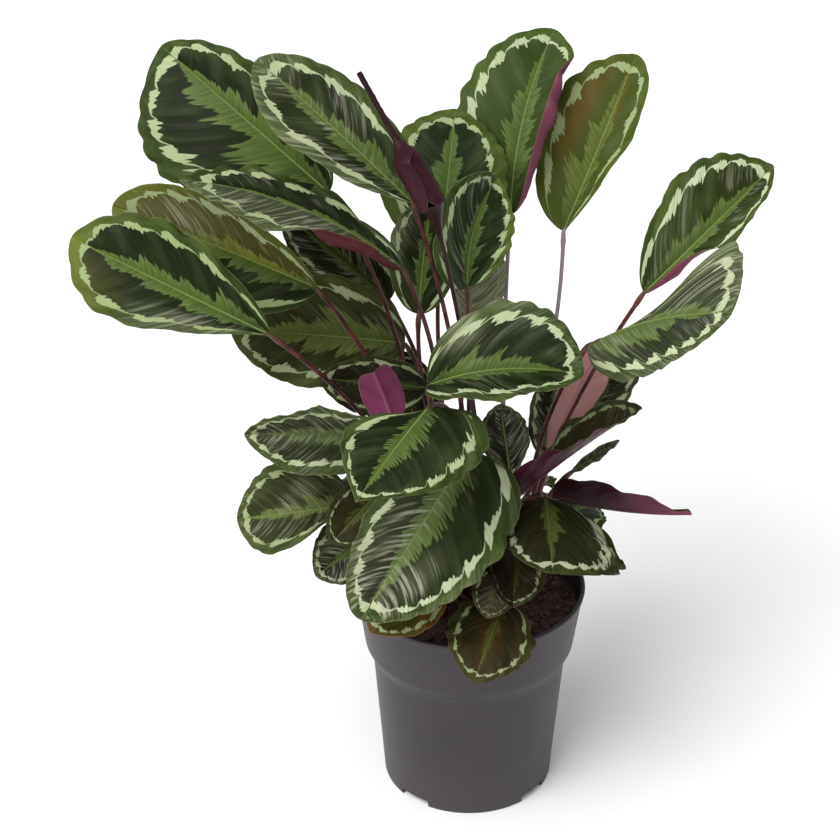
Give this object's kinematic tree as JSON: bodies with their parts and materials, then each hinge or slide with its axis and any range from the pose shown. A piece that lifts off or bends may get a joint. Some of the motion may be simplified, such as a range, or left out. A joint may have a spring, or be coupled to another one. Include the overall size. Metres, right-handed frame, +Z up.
{
  "type": "potted calathea",
  "caption": "Calathea house plant: broad oval patterned leaves with purple undersides on thin arching stalks, in a tapered plastic nursery pot filled with soil.",
  "frame": {"origin": "on the pot's axis, in the plane that it stands on", "axes": "+Z up along the pot's axis, -Y towards the side that faces the camera in the picture, +X to that side's right"},
  "size_m": [0.5232, 0.3444, 0.645],
  "materials": {
    "pot_plastic": "satin dark warm grey",
    "potting_mix": "matt, crumbly",
    "petiole": "satin wine red",
    "leaf": "satin, dark green with a pale band above, wine purple below"
  },
  "bodies": {
    "root": {"pot": "pot_plastic", "soil": "potting_mix", "shoot_front": "petiole", "shoot_front_left": "petiole", "shoot_left": "petiole", "shoot_middle": "petiole", "shoot_back_left": "petiole", "shoot_back_right": "petiole", "shoot_right": "petiole", "blade_01": "leaf", "blade_02": "leaf", "blade_03": "leaf", "blade_04": "leaf", "blade_05": "leaf", "blade_06": "leaf", "blade_07": "leaf", "blade_08": "leaf", "blade_09": "leaf", "blade_10": "leaf", "blade_11": "leaf", "blade_12": "leaf", "blade_13": "leaf", "blade_14": "leaf", "blade_15": "leaf", "blade_16": "leaf", "blade_17": "leaf", "blade_18": "leaf", "blade_19": "leaf", "blade_20": "leaf", "blade_21": "leaf", "blade_22": "leaf", "blade_23": "leaf", "blade_24": "leaf", "blade_25": "leaf", "blade_26": "leaf", "blade_27": "leaf", "blade_28": "leaf", "blade_29": "leaf", "blade_30": "leaf", "blade_32": "leaf", "blade_33": "leaf", "blade_34": "leaf", "blade_35": "leaf", "blade_36": "leaf", "blade_37": "leaf", "blade_38": "leaf", "blade_39": "leaf", "blade_40": "leaf", "blade_41": "leaf", "blade_42": "leaf", "blade_43": "leaf", "blade_44": "leaf"}
  },
  "joints": []
}
